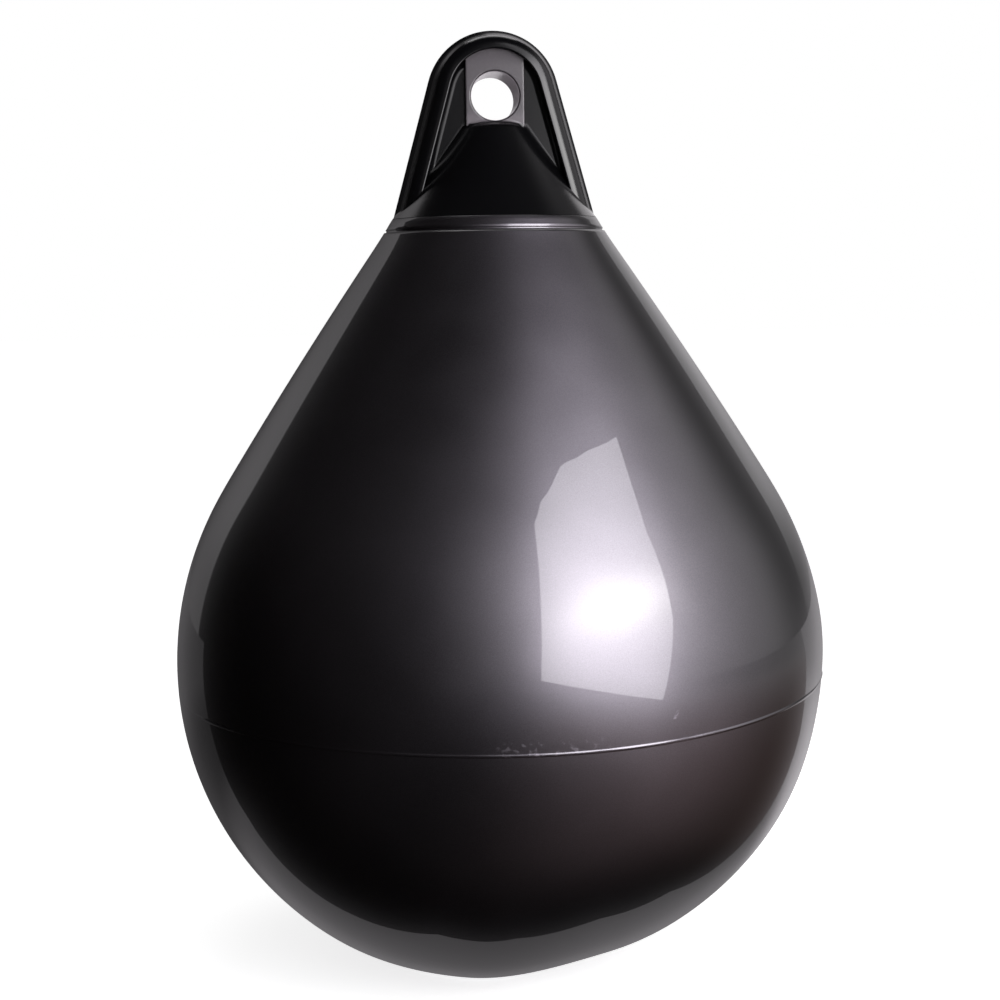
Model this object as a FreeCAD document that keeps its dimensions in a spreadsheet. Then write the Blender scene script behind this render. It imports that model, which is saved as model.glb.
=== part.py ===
import FreeCAD, Part
import math
import os

import Sketcher

# Teardrop marker buoy: a hollow inflated vinyl body, a moulded black head with a rope eye on top
# of it, and the inflation valve in the back of the head.
# The buoy stands on its flattened base at z = 0 and its round forms turn about the Z axis.
# The bore of the rope eye runs along Y, the side seen in front is -Y. Millimetres and degrees.

# Driving sizes: name, value, meaning.
SIZES = (
    ("belly_d", 300.0, "largest diameter of the body"),
    ("base_rise", 11.0, "height lost at the pole, where the body sits flat"),
    ("base_round", 95.0, "radius between the flat base and the belly"),
    ("shoulder_round", 154.4, "radius of the belly above its widest level"),
    ("flank_round", 2500.0, "faint bulge of the flank"),
    ("neck_d", 99.84, "diameter at the neck groove"),
    ("flank_angle", 35.0, "angle between the flank and the Z axis, at the neck"),
    ("wall", 2.8, "thickness of the vinyl"),
    ("collar_height", 5.6, "height of the band above the neck groove"),
    ("collar_angle", 30.0, "angle between that band and the Z axis"),
    ("groove_round", 0.7, "radius of the neck groove"),
    ("seam_drop", 11.0, "depth of the mould seam below the widest level"),
    ("seam_round", 0.6, "radius of the seam's bead"),
    ("seam_sink", 0.25, "how far the bead's centre lies inside the surface"),
    ("cone_angle", 38.4, "angle between the head's cone and the Z axis, at its foot"),
    ("flare_round", 400.0, "hollow curve of the head's cone"),
    ("crown_d", 35.2, "diameter of the head's blunt crown at its sharp corner"),
    ("crown_round", 4.0, "rounding of the crown"),
    ("crown_thick", 17.0, "plastic between the crown and the cavity below it"),
    ("head_wall", 7.2, "thickness of the head's cone"),
    ("skirt_height", 20.0, "depth of the head's skirt inside the neck"),
    ("skirt_gap", 0.3, "clearance between the skirt and the vinyl"),
    ("eye_d", 60.4, "outer diameter of the rope eye's arch"),
    ("rim_depth", 34.0, "depth of the eye's rim, front to back"),
    ("side_round", 28.3, "bulge of the rim's outer side"),
    ("rim_round", 6.0, "rounding of the rim's crests, front and back"),
    ("lip_round", 0.6, "rounding between the crests and the rim's inner side"),
    ("foot_inset", 0.45, "how far the eye's feet stop inside the collar's radius"),
    ("pad_width", 26.6, "width of the pad around the bore"),
    ("pad_thick", 28.0, "thickness of the pad, the bore's two mouths included"),
    ("floor_thick", 22.0, "thickness of the pockets' floor beside the pad"),
    ("pad_round", 0.8, "rounding of the pad's side edges"),
    ("pad_foot_round", 2.0, "rounding between the pad's foot and the crown"),
    ("pocket_round", 2.4, "rounding between the pockets' floor and the rim"),
    ("bore_d", 21.5, "diameter of the rope bore"),
    ("mouth_round", 1.0, "rounding of the bore's mouths"),
    ("mouth_gap", 0.3, "gap between the mouths' rounding and the crown"),
    ("valve_rise", 17.4, "height of the valve above the collar"),
    ("seat_depth", 2.8, "depth of the valve's seat below the cone's surface"),
    ("flange_d", 18.0, "diameter of the valve insert's flange"),
    ("flange_thick", 1.6, "thickness of the valve insert's flange"),
    ("sleeve_d", 13.0, "diameter of the valve insert's sleeve"),
    ("sleeve_length", 11.0, "length of the sleeve below the flange"),
    ("valve_gap", 0.15, "radial clearance of the insert and of the screw"),
    ("screw_d", 8.0, "diameter of the valve screw's shank"),
    ("screw_length", 8.0, "length of the shank below the screw's head"),
    ("screw_head_d", 11.0, "diameter of the valve screw's head"),
    ("screw_head_thick", 1.8, "thickness of the valve screw's head"),
    ("recess_depth", 0.9, "depth of the recess that takes the screw's head"),
    ("slot_width", 1.6, "width of the screw's slot"),
    ("slot_depth", 1.1, "depth of the screw's slot"),
)

# Sizes that follow from the driving ones: name, formula, meaning.
DERIVED = (
    ("belly_r", "belly_d / 2", "radius of the belly"),
    ("belly_z", "belly_r - base_rise", "widest level"),
    ("base_r", "sqrt(base_rise * (2 * (belly_r - base_round) - base_rise))", "radius of the flat base"),
    ("cone_sin", "sin(cone_angle)", "sine of the cone angle"),
    ("cone_cos", "cos(cone_angle)", "cosine of the cone angle"),
    ("cone_tan", "tan(cone_angle)", "widening of the cone for each unit of height"),
    ("collar_cos", "cos(collar_angle)", "cosine of the collar's angle"),
    ("collar_tan", "tan(collar_angle)", "widening of the collar for each unit of height"),
    ("neck_r", "neck_d / 2", "radius at the neck groove"),
    ("flank_x", "neck_r - flank_round * cos(flank_angle)", "centre of the flank's curve, across"),
    ("turn_cos", "(belly_r - shoulder_round - flank_x) / (flank_round - shoulder_round)", "shoulder's end"),
    ("turn_sin", "sqrt(1 - turn_cos ^ 2)", "sine at the shoulder's end"),
    ("flank_z", "belly_z - (flank_round - shoulder_round) * turn_sin", "centre of the flank's curve, up"),
    ("neck_z", "flank_z + flank_round * sin(flank_angle)", "level of the neck groove"),
    ("collar_z", "neck_z + collar_height", "level of the collar's top"),
    ("collar_r", "neck_r - collar_height * collar_tan", "radius of the collar's top"),
    ("crown_r", "crown_d / 2", "radius of the crown"),
    ("crown_cos", "cone_cos + (collar_r - crown_r) / flare_round", "cosine of the cone's normal there"),
    ("crown_sin", "sqrt(1 - crown_cos ^ 2)", "sine of the cone's normal there"),
    ("crown_z", "collar_z + flare_round * (cone_sin - crown_sin)", "level of the crown"),
    ("eye_r", "eye_d / 2", "outer radius of the arch"),
    ("bore_z", "crown_z + mouth_gap + mouth_round + bore_d / 2", "level of the bore"),
    ("foot_r", "collar_r - foot_inset", "half the width of the eye at its feet"),
    ("foot_drop", "bore_z - collar_z", "height of the bore above the feet"),
    ("flare", "atan(foot_r / foot_drop) - asin(eye_r / sqrt(foot_r ^ 2 + foot_drop ^ 2))", "side slope"),
    ("crest_rise", "sqrt((side_round - rim_round) ^ 2 - (rim_depth / 2 - rim_round) ^ 2)", "to the crests"),
    ("rim_width", "side_round - crest_rise + lip_round", "width of the rim around the eye"),
    ("side_z", "bore_z + eye_r - side_round", "centre of the rim's side over the bore, up"),
    ("crest_z", "side_z + crest_rise", "level of the rim's crests over the bore"),
    ("path_z", "collar_z - 2 * lip_round", "level where the rim's path ends"),
    ("path_foot", "foot_r + 2 * lip_round * tan(flare)", "half the width of the rim's path there"),
    ("inner_r", "eye_r - rim_width", "radius of the rim's inner edge"),
    ("inner_foot", "foot_r - rim_width / cos(flare)", "half the width inside the rim, at the feet"),
    ("plate_r", "inner_r + rim_width / 2", "radius of the plate's edge, inside the rim"),
    ("plate_foot", "inner_foot + rim_width / 2 / cos(flare)", "half the plate's width, at the feet"),
    ("valve_sin", "cone_sin - valve_rise / flare_round", "sine of the valve's tilt"),
    ("valve_cos", "sqrt(1 - valve_sin ^ 2)", "cosine of the valve's tilt"),
    ("seat_y", "collar_r + flare_round * (cone_cos - valve_cos) - seat_depth * valve_cos", "seat, back"),
    ("seat_z", "collar_z + valve_rise - seat_depth * valve_sin", "seat, up"),
)

SHEET = "Sizes"
CELL = SHEET + "."


def make_sheet(doc):
    """The driving sizes as plain numbers and the sizes that follow from them as formulas."""
    sheet = doc.addObject("Spreadsheet::Sheet", SHEET)
    row = 1
    for name, value, meaning in SIZES:
        sheet.set(f"A{row}", str(value))
        sheet.setAlias(f"A{row}", name)
        sheet.set(f"B{row}", meaning)
        row += 1
    doc.recompute()
    for name, formula, meaning in DERIVED:
        sheet.set(f"A{row}", "=" + formula)
        sheet.setAlias(f"A{row}", name)
        sheet.set(f"B{row}", meaning)
        doc.recompute()
        row += 1
    return sheet


def size(name):
    """The value of one size, as a number."""
    value = FreeCAD.ActiveDocument.getObject(SHEET).get(name)
    return float(getattr(value, "Value", value))


def new_body(doc, label):
    """An empty body with its node name as its label."""
    body = doc.addObject("PartDesign::Body", label)
    body.Label = label
    return body


def plane(body, role):
    """An origin plane of the body."""
    return next(item for item in body.Origin.OriginFeatures if item.Role == role)


def on_circle(centre, radius, angle):
    """The point of a circle at an angle in degrees."""
    turn = math.radians(angle)
    return (centre[0] + radius * math.cos(turn), centre[1] + radius * math.sin(turn))


class Outline:
    """A sketch on an origin plane of a body. Its sizes are bound to the sheet's cells."""

    def __init__(self, body, name, role="XZ_Plane", offset=None):
        self.sketch = body.newObject("Sketcher::SketchObject", name)
        self.sketch.AttachmentSupport = (plane(body, role), [""])
        self.sketch.MapMode = "FlatFace"
        if offset:
            self.sketch.setExpression("AttachmentOffset.Base.z", offset)

    def line(self, start, end, construction=False):
        segment = Part.LineSegment(FreeCAD.Vector(*start, 0), FreeCAD.Vector(*end, 0))
        return self.sketch.addGeometry(segment, construction)

    def arc(self, centre, radius, start, end):
        """An arc from one angle to another, anticlockwise, in degrees."""
        circle = Part.Circle(FreeCAD.Vector(*centre, 0), FreeCAD.Vector(0, 0, 1), radius)
        return self.sketch.addGeometry(Part.ArcOfCircle(circle, math.radians(start), math.radians(end)))

    def circle(self, centre, radius):
        shape = Part.Circle(FreeCAD.Vector(*centre, 0), FreeCAD.Vector(0, 0, 1), radius)
        return self.sketch.addGeometry(shape)

    def polygon(self, corners):
        """Lines from corner to corner, closed. Returns their numbers."""
        ends = corners[1:] + corners[:1]
        lines = [self.line(a, b) for a, b in zip(corners, ends)]
        for first, second in zip(lines, lines[1:] + lines[:1]):
            self.rule("Coincident", first, 2, second, 1)
        return lines

    def rule(self, kind, *refs):
        """A rule with no size, such as a tangent."""
        return self.sketch.addConstraint(Sketcher.Constraint(kind, *refs))

    def bind(self, kind, refs, value, formula):
        """A size that a formula drives."""
        number = self.sketch.addConstraint(Sketcher.Constraint(kind, *refs, value))
        self.sketch.setExpression(f"Constraints[{number}]", formula)

    def place(self, geometry, point, across=None, up=None):
        """Binds a point's place in the plane, measured from the origin."""
        spot = self.sketch.getPoint(geometry, point)
        if across:
            self.bind("DistanceX", (-1, 1, geometry, point), spot.x, across)
        if up:
            self.bind("DistanceY", (-1, 1, geometry, point), spot.y, up)


def add(body, kind, name, profile=None, **settings):
    """Adds one feature to a body and makes it the tip."""
    feature = body.newObject("PartDesign::" + kind, name)
    if profile:
        feature.Profile = profile.sketch
        profile.sketch.Visibility = False
    for key, value in settings.items():
        setattr(feature, key, value)
    body.Tip = feature
    return feature


def turned(body, kind, name, profile, axis="V_Axis"):
    """A full turn of a profile, added or cut."""
    return add(body, kind, name, profile, ReferenceAxis=(profile.sketch, [axis]), Angle=360.0)


def mirrored(body, name, feature, role):
    """The same feature again on the other side of an origin plane."""
    return add(body, "Mirrored", name, Originals=[feature], MirrorPlane=(plane(body, role), [""]))


def rounded(doc, body, name, wanted, formula):
    """A fillet on every edge of the body that the test picks."""
    doc.recompute()
    base = body.Tip
    edges = [f"Edge{i}" for i, edge in enumerate(base.Shape.Edges, 1) if wanted(edge)]
    if not edges:
        raise ValueError("no edge found for " + name)
    feature = add(body, "Fillet", name, Base=(base, edges))
    feature.setExpression("Radius", formula)
    return feature


def make_shell(doc):
    """The inflated body, open at the neck, with the collar, the neck groove and the mould seam."""
    body = new_body(doc, "body_shell")

    # Half of the outside: flat base, base round, belly, shoulder, flank, collar, open top.
    outside = Outline(body, "shell_outside")
    belly = (0.0, size("belly_z"))
    base = (size("base_r"), size("base_round"))
    shoulder = (size("belly_r") - size("shoulder_round"), size("belly_z"))
    turn_angle = math.degrees(math.asin(size("turn_sin")))
    flank = (size("flank_x"), size("flank_z"))
    base_angle = math.degrees(math.atan2(base[1] - belly[1], base[0]))
    neck = (size("neck_r"), size("neck_z"))
    collar = (size("collar_r"), size("collar_z"))
    floor = outside.line((0, 0), (base[0], 0))
    arcs = [
        outside.arc(base, size("base_round"), -90, base_angle),
        outside.arc(belly, size("belly_r"), base_angle, 0),
        outside.arc(shoulder, size("shoulder_round"), 0, turn_angle),
        outside.arc(flank, size("flank_round"), turn_angle, size("flank_angle")),
    ]
    band = outside.line(neck, collar)
    top = outside.line(collar, (0, collar[1]))
    axis = outside.line((0, collar[1]), (0, 0))
    outside.rule("Coincident", floor, 1, -1, 1)
    outside.rule("Horizontal", floor)
    for first, second in zip([floor] + arcs, arcs):
        outside.rule("Tangent", first, 2, second, 1)
    for first, second in ((arcs[3], band), (band, top), (top, axis), (axis, floor)):
        outside.rule("Coincident", first, 2, second, 1)
    outside.rule("Horizontal", top)
    outside.rule("PointOnObject", axis, 1, -2)
    for arc, radius in zip(arcs, ("base_round", "belly_r", "shoulder_round", "flank_round")):
        outside.bind("Radius", (arc,), size(radius), CELL + radius)
    outside.rule("PointOnObject", arcs[1], 3, -2)
    outside.place(arcs[1], 3, up=CELL + "belly_z")
    outside.rule("Horizontal", arcs[1], 3, arcs[1], 2)
    outside.place(band, 1, CELL + "neck_r", CELL + "neck_z")
    outside.place(band, 2, CELL + "collar_r", CELL + "collar_z")
    turned(body, "Revolution", "shell_solid", outside)

    # Even wall, open at the top of the collar.
    doc.recompute()
    solid = body.Tip
    tops = [f"Face{i}" for i, face in enumerate(solid.Shape.Faces, 1)
            if face.BoundBox.ZMin > size("collar_z") - 0.01]
    hollow = add(body, "Thickness", "shell_wall", Base=(solid, tops), Reversed=True, Join=1)
    hollow.setExpression("Value", CELL + "wall")

    # Fine groove under the collar.
    groove = Outline(body, "neck_groove_section")
    ring = groove.circle(neck, size("groove_round"))
    groove.bind("Radius", (ring,), size("groove_round"), CELL + "groove_round")
    groove.place(ring, 3, CELL + "neck_r", CELL + "neck_z")
    turned(body, "Groove", "neck_groove", groove)

    # Bead of the mould seam, a little below the widest level.
    seam = Outline(body, "seam_section")
    drop = size("seam_drop")
    centre = (math.sqrt(size("belly_r") ** 2 - drop ** 2) - size("seam_sink"), size("belly_z") - drop)
    bead = seam.circle(centre, size("seam_round"))
    seam.bind("Radius", (bead,), size("seam_round"), CELL + "seam_round")
    across = f"sqrt({CELL}belly_r ^ 2 - {CELL}seam_drop ^ 2) - {CELL}seam_sink"
    seam.place(bead, 3, across, f"{CELL}belly_z - {CELL}seam_drop")
    turned(body, "Revolution", "mould_seam", seam)
    return body


def draw_eye(outline, radius_name, foot_name):
    """An arch about the bore with two sides that flare down to the collar's level."""
    radius = size(radius_name)
    foot = size(foot_name)
    flare = size("flare")
    centre = (0.0, size("bore_z"))
    foot_z = size("collar_z")
    arch = outline.arc(centre, radius, flare, 180 - flare)
    left = outline.line(on_circle(centre, radius, 180 - flare), (-foot, foot_z))
    bottom = outline.line((-foot, foot_z), (foot, foot_z))
    right = outline.line((foot, foot_z), on_circle(centre, radius, flare))
    outline.rule("Tangent", arch, 2, left, 1)
    outline.rule("Coincident", left, 2, bottom, 1)
    outline.rule("Coincident", bottom, 2, right, 1)
    outline.rule("Tangent", right, 2, arch, 1)
    outline.rule("PointOnObject", arch, 3, -2)
    outline.place(arch, 3, up=CELL + "bore_z")
    outline.bind("Radius", (arch,), radius, CELL + radius_name)
    outline.place(bottom, 1, f"-{CELL}{foot_name}", CELL + "collar_z")
    outline.place(bottom, 2, CELL + foot_name, CELL + "collar_z")


def draw_pocket(outline, side):
    """The pocket between the pad and the rim, on the right (1) or the left (-1) of the bore."""
    flare = size("flare")
    radius = size("inner_r")
    centre = (0.0, size("bore_z"))
    foot_z = size("collar_z")
    pad = side * size("pad_width") / 2
    foot = side * size("inner_foot")
    top_angle = math.degrees(math.acos(pad / radius))
    side_angle = flare if side > 0 else 180 - flare
    top = on_circle(centre, radius, top_angle)
    touch = on_circle(centre, radius, side_angle)
    arch = outline.arc(centre, radius, min(top_angle, side_angle), max(top_angle, side_angle))
    arch_top, arch_side = (2, 1) if side > 0 else (1, 2)
    slanted = outline.line(touch, (foot, foot_z))
    bottom = outline.line((foot, foot_z), (pad, foot_z))
    upright = outline.line((pad, foot_z), top)
    outline.rule("Tangent", arch, arch_side, slanted, 1)
    outline.rule("Coincident", slanted, 2, bottom, 1)
    outline.rule("Coincident", bottom, 2, upright, 1)
    outline.rule("Coincident", upright, 2, arch, arch_top)
    outline.rule("Vertical", upright)
    outline.rule("PointOnObject", arch, 3, -2)
    outline.place(arch, 3, up=CELL + "bore_z")
    outline.bind("Radius", (arch,), radius, CELL + "inner_r")
    sign = "" if side > 0 else "-"
    outline.place(bottom, 1, f"{sign}{CELL}inner_foot", CELL + "collar_z")
    outline.place(bottom, 2, f"{sign}{CELL}pad_width / 2", CELL + "collar_z")


def draw_rim_path(outline):
    """The right half of the eye's outer edge, from its top down to a little below the collar."""
    flare = size("flare")
    radius = size("eye_r")
    centre = (0.0, size("bore_z"))
    arch = outline.arc(centre, radius, flare, 90)
    side = outline.line(on_circle(centre, radius, flare), (size("path_foot"), size("path_z")))
    outline.rule("Tangent", side, 1, arch, 1)
    outline.rule("PointOnObject", arch, 3, -2)
    outline.rule("PointOnObject", arch, 2, -2)
    outline.place(arch, 3, up=CELL + "bore_z")
    outline.bind("Radius", (arch,), radius, CELL + "eye_r")
    outline.place(side, 2, CELL + "path_foot", CELL + "path_z")


def draw_rim_section(outline):
    """The rim across: a faintly round side, a crest in front and behind, a flat side with two lips."""
    half = size("rim_depth") / 2
    crest_r = size("rim_round")
    lip_r = size("lip_round")
    side_z = size("side_z")
    crest_z = size("crest_z")
    turn = math.degrees(math.atan2(crest_z - side_z, half - crest_r))
    side = outline.arc((0, side_z), size("side_round"), turn, 180 - turn)
    back = outline.arc((half - crest_r, crest_z), crest_r, 0, turn)
    back_lip = outline.arc((half - lip_r, crest_z), lip_r, -90, 0)
    flat = outline.line((lip_r - half, crest_z - lip_r), (half - lip_r, crest_z - lip_r))
    front_lip = outline.arc((lip_r - half, crest_z), lip_r, 180, 270)
    front = outline.arc((crest_r - half, crest_z), crest_r, 180 - turn, 180)
    ring = (side, back, back_lip, flat, front_lip, front)
    for first, second in zip(ring, ring[1:] + ring[:1]):
        outline.rule("Tangent", first, 1, second, 2)
    outline.rule("PointOnObject", side, 3, -2)
    outline.place(side, 3, up=CELL + "side_z")
    outline.bind("Radius", (side,), size("side_round"), CELL + "side_round")
    for crest, end, sign in ((back, 1, ""), (front, 2, "-")):
        outline.rule("Horizontal", crest, 3, crest, end)
        outline.place(crest, end, across=f"{sign}{CELL}rim_depth / 2")
        outline.bind("Radius", (crest,), crest_r, CELL + "rim_round")
    for lip in (back_lip, front_lip):
        outline.bind("Radius", (lip,), lip_r, CELL + "lip_round")


def add_rim(doc, body):
    """The eye's rim, its section led round the arch and down both sides to the collar's level."""
    path = Outline(body, "rim_path")
    draw_rim_path(path)
    section = Outline(body, "rim_section", role="YZ_Plane")
    draw_rim_section(section)
    doc.recompute()
    half = add(body, "AdditivePipe", "rim", section, Spine=(path.sketch, ["Edge1", "Edge2"]))
    mirrored(body, "rim_left", half, "YZ_Plane")

    plate = Outline(body, "plate_outline")
    draw_eye(plate, "plate_r", "plate_foot")
    block = add(body, "Pad", "plate", plate, SideType="Symmetric")
    block.setExpression("Length", CELL + "pad_thick")

    # The feet are cut level with the collar, where the cone takes over.
    level = Outline(body, "feet_outline", role="XY_Plane", offset=CELL + "collar_z")
    disc = level.circle((0, 0), size("belly_r") / 2)
    level.rule("Coincident", disc, 3, -1, 1)
    level.bind("Radius", (disc,), size("belly_r") / 2, CELL + "belly_r / 2")
    cut = add(body, "Pocket", "feet", level)
    cut.setExpression("Length", CELL + "eye_r")


def add_pockets(doc, body):
    """The pockets beside the pad, in front and behind, with their roundings."""
    pad_face = size("pad_thick") / 2
    pocket_floor = size("floor_thick") / 2
    pad_side = size("pad_width") / 2
    pockets = Outline(body, "pocket_outlines", offset=CELL + "pad_thick / 2")
    for side in (1, -1):
        draw_pocket(pockets, side)
    hollow = add(body, "Pocket", "pockets", pockets)
    hollow.setExpression("Length", f"({CELL}pad_thick - {CELL}floor_thick) / 2")
    mirrored(body, "pockets_behind", hollow, "XZ_Plane")

    def on_pad_side(edge):
        box = edge.BoundBox
        upright = box.XLength < 0.1 and box.YLength < 0.1
        return upright and abs(abs(box.Center.x) - pad_side) < 0.1 and abs(abs(box.Center.y) - pad_face) < 0.1

    def under_rim(edge):
        box = edge.BoundBox
        on_floor = box.YLength < 0.3 and abs(abs(box.Center.y) - pocket_floor) < 0.2
        return on_floor and box.ZLength > 1 and abs(edge.CenterOfMass.x) > pad_side + 0.1

    rounded(doc, body, "pad_rounding", on_pad_side, CELL + "pad_round")
    rounded(doc, body, "pocket_rounding", under_rim, CELL + "pocket_round")


def add_cone(doc, body):
    """The blunt cone that the eye stands on, with the skirt that reaches into the neck."""
    collar = (size("collar_r"), size("collar_z"))
    crown_z = size("crown_z")
    skirt_formula = f"{CELL}collar_r - {CELL}wall / {CELL}collar_cos - {CELL}skirt_gap"
    skirt_r = size("collar_r") - size("wall") / size("collar_cos") - size("skirt_gap")
    skirt_drop = size("skirt_height")
    skirt = (skirt_r + skirt_drop * size("collar_tan"), collar[1] - skirt_drop)

    # The side of the cone is a hollow arc, so its centre lies outside.
    flare = (collar[0] + size("flare_round") * size("cone_cos"),
             collar[1] + size("flare_round") * size("cone_sin"))
    round_z = crown_z - size("crown_round")
    reach = size("flare_round") + size("crown_round")
    crown = (flare[0] - math.sqrt(reach ** 2 - (flare[1] - round_z) ** 2), round_z)
    crown_angle = math.degrees(math.atan2(flare[1] - crown[1], flare[0] - crown[0]))

    cone = Outline(body, "cone_section")
    top = cone.line((0, crown_z), (crown[0], crown_z))
    rim = cone.arc(crown, size("crown_round"), crown_angle, 90)
    side = cone.arc(flare, size("flare_round"), 180 + crown_angle, 180 + size("cone_angle"))
    lip = cone.line(collar, (skirt_r, collar[1]))
    skirt_side = cone.line((skirt_r, collar[1]), skirt)
    bottom = cone.line(skirt, (0, skirt[1]))
    axis = cone.line((0, skirt[1]), (0, crown_z))
    cone.rule("Tangent", top, 2, rim, 2)
    cone.rule("Tangent", rim, 1, side, 1)
    for first, second in ((side, lip), (lip, skirt_side), (skirt_side, bottom), (bottom, axis), (axis, top)):
        cone.rule("Coincident", first, 2, second, 1)
    cone.rule("Horizontal", top)
    cone.rule("Horizontal", bottom)
    cone.rule("PointOnObject", axis, 1, -2)
    cone.rule("PointOnObject", axis, 2, -2)
    cone.place(top, 1, up=CELL + "crown_z")
    cone.bind("Radius", (rim,), size("crown_round"), CELL + "crown_round")
    cone.bind("Radius", (side,), size("flare_round"), CELL + "flare_round")
    cone.place(side, 3, f"{CELL}collar_r + {CELL}flare_round * {CELL}cone_cos")
    cone.place(lip, 1, CELL + "collar_r", CELL + "collar_z")
    cone.place(lip, 2, skirt_formula, CELL + "collar_z")
    across = f"{skirt_formula} + {CELL}skirt_height * {CELL}collar_tan"
    cone.place(bottom, 1, across, f"{CELL}collar_z - {CELL}skirt_height")
    turned(body, "Revolution", "cone", cone)
    pad_face = size("pad_thick") / 2

    def on_pad_foot(edge):
        box = edge.BoundBox
        in_face = box.YLength < 0.05 and abs(abs(box.Center.y) - pad_face) < 0.1
        return in_face and box.ZMax < crown_z + 0.1 and box.ZMin > collar[1] + 1

    rounded(doc, body, "pad_foot_rounding", on_pad_foot, CELL + "pad_foot_round")

    # The cavity below the crown leaves a nearly even wall.
    wall = size("head_wall") / size("cone_cos")
    low = (collar[0] - wall + skirt_drop * size("collar_tan"), skirt[1])
    high_z = crown_z - size("crown_thick")
    high = (collar[0] - wall - (high_z - collar[1]) * size("cone_tan"), high_z)
    inside = f"{CELL}collar_r - {CELL}head_wall / {CELL}cone_cos"
    climb = f"({CELL}crown_z - {CELL}crown_thick - {CELL}collar_z)"
    cavity = Outline(body, "cavity_section")
    lines = cavity.polygon([(0, low[1]), low, high, (0, high[1])])
    cavity.rule("PointOnObject", lines[0], 1, -2)
    cavity.rule("PointOnObject", lines[3], 1, -2)
    cavity.rule("Horizontal", lines[0])
    cavity.rule("Horizontal", lines[2])
    across = f"{inside} + {CELL}skirt_height * {CELL}collar_tan"
    cavity.place(lines[1], 1, across, f"{CELL}collar_z - {CELL}skirt_height")
    cavity.place(lines[2], 1, f"{inside} - {climb} * {CELL}cone_tan", f"{CELL}crown_z - {CELL}crown_thick")
    turned(body, "Groove", "cavity", cavity)


def add_bore(doc, body):
    """The rope bore through the pad, with rounded mouths."""
    circle = Outline(body, "bore_outline")
    ring = circle.circle((0, size("bore_z")), size("bore_d") / 2)
    circle.bind("Diameter", (ring,), size("bore_d"), CELL + "bore_d")
    circle.rule("PointOnObject", ring, 3, -2)
    circle.place(ring, 3, up=CELL + "bore_z")
    add(body, "Pocket", "bore", circle, Type="ThroughAll", SideType="Symmetric")
    mouth = size("pad_thick") / 2
    radius = size("bore_d") / 2

    def on_mouth(edge):
        round_edge = isinstance(edge.Curve, Part.Circle) and abs(edge.Curve.Radius - radius) < 0.01
        return round_edge and abs(abs(edge.BoundBox.Center.y) - mouth) < 0.01

    rounded(doc, body, "bore_mouths", on_mouth, CELL + "mouth_round")


def add_valve_hole(doc, body):
    """The stepped hole in the back of the cone, square to its surface, that takes the valve."""
    tilt = math.degrees(math.asin(size("valve_sin")))
    seat = FreeCAD.Vector(size("seat_y"), size("seat_z"), 0)
    out = FreeCAD.Vector(size("valve_cos"), size("valve_sin"), 0)
    side = FreeCAD.Vector(-size("valve_sin"), size("valve_cos"), 0)
    wide = size("flange_d") / 2 + size("valve_gap")
    narrow = size("sleeve_d") / 2 + size("valve_gap")
    above = 2 * size("seat_depth")
    below = size("sleeve_length") + size("head_wall")

    def corner(along, across):
        point = seat + out * along + side * across
        return (point.x, point.y)

    hole = Outline(body, "valve_hole_section", role="YZ_Plane")
    centre = hole.line(corner(-below, 0), corner(above, 0), construction=True)
    steps = [(-below, 0), (-below, narrow), (0, narrow), (0, wide), (above, wide), (above, 0)]
    lines = hole.polygon([corner(*step) for step in steps])
    hole.rule("Coincident", centre, 1, lines[0], 1)
    hole.rule("Coincident", centre, 2, lines[5], 1)
    hole.bind("Angle", (-1, 1, centre, 1), math.radians(tilt), f"asin({CELL}valve_sin)")
    for line in (lines[1], lines[3]):
        hole.rule("Parallel", centre, line)
    for line in (lines[0], lines[2], lines[4]):
        hole.rule("Perpendicular", centre, line)
    hole.bind("Distance", (lines[0],), narrow, f"{CELL}sleeve_d / 2 + {CELL}valve_gap")
    hole.bind("Distance", (lines[4],), wide, f"{CELL}flange_d / 2 + {CELL}valve_gap")
    hole.bind("Distance", (lines[3],), above, f"2 * {CELL}seat_depth")
    hole.bind("Distance", (lines[1],), below, f"{CELL}sleeve_length + {CELL}head_wall")
    hole.place(lines[0], 1, f"{CELL}seat_y - ({CELL}sleeve_length + {CELL}head_wall) * {CELL}valve_cos",
               f"{CELL}seat_z - ({CELL}sleeve_length + {CELL}head_wall) * {CELL}valve_sin")
    turned(body, "Groove", "valve_hole", hole, axis="Axis0")


def make_head(doc):
    """The moulded head: the eye with its rim, pad and pockets, the cone, the skirt, the bore."""
    body = new_body(doc, "rope_eye")
    add_rim(doc, body)
    add_pockets(doc, body)
    add_cone(doc, body)
    add_bore(doc, body)
    add_valve_hole(doc, body)
    return body


def stand_on_seat(body):
    """Stands a valve piece, drawn about Z with the seat at z = 0, on its seat in the head."""
    body.Placement = FreeCAD.Placement(FreeCAD.Vector(), FreeCAD.Rotation(FreeCAD.Vector(1, 0, 0), -45))
    body.setExpression("Placement.Base.y", CELL + "seat_y")
    body.setExpression("Placement.Base.z", CELL + "seat_z")
    body.setExpression("Placement.Rotation.Angle", f"asin({CELL}valve_sin) - 90 deg")


def half_section(body, name, corners):
    """A closed profile beside the Z axis. Each corner is a pair of formulas, across and up."""
    profile = Outline(body, name)
    sheet = FreeCAD.ActiveDocument.getObject(SHEET)
    spots = [tuple(float(sheet.evalExpression(formula)) for formula in corner) for corner in corners]
    lines = profile.polygon(spots)
    for line, (across, up) in zip(lines, corners):
        if across == "0":
            profile.rule("PointOnObject", line, 1, -2)
        else:
            profile.place(line, 1, across=across)
        if up == "0":
            profile.rule("PointOnObject", line, 1, -1)
        else:
            profile.place(line, 1, up=up)
    return profile


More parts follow.
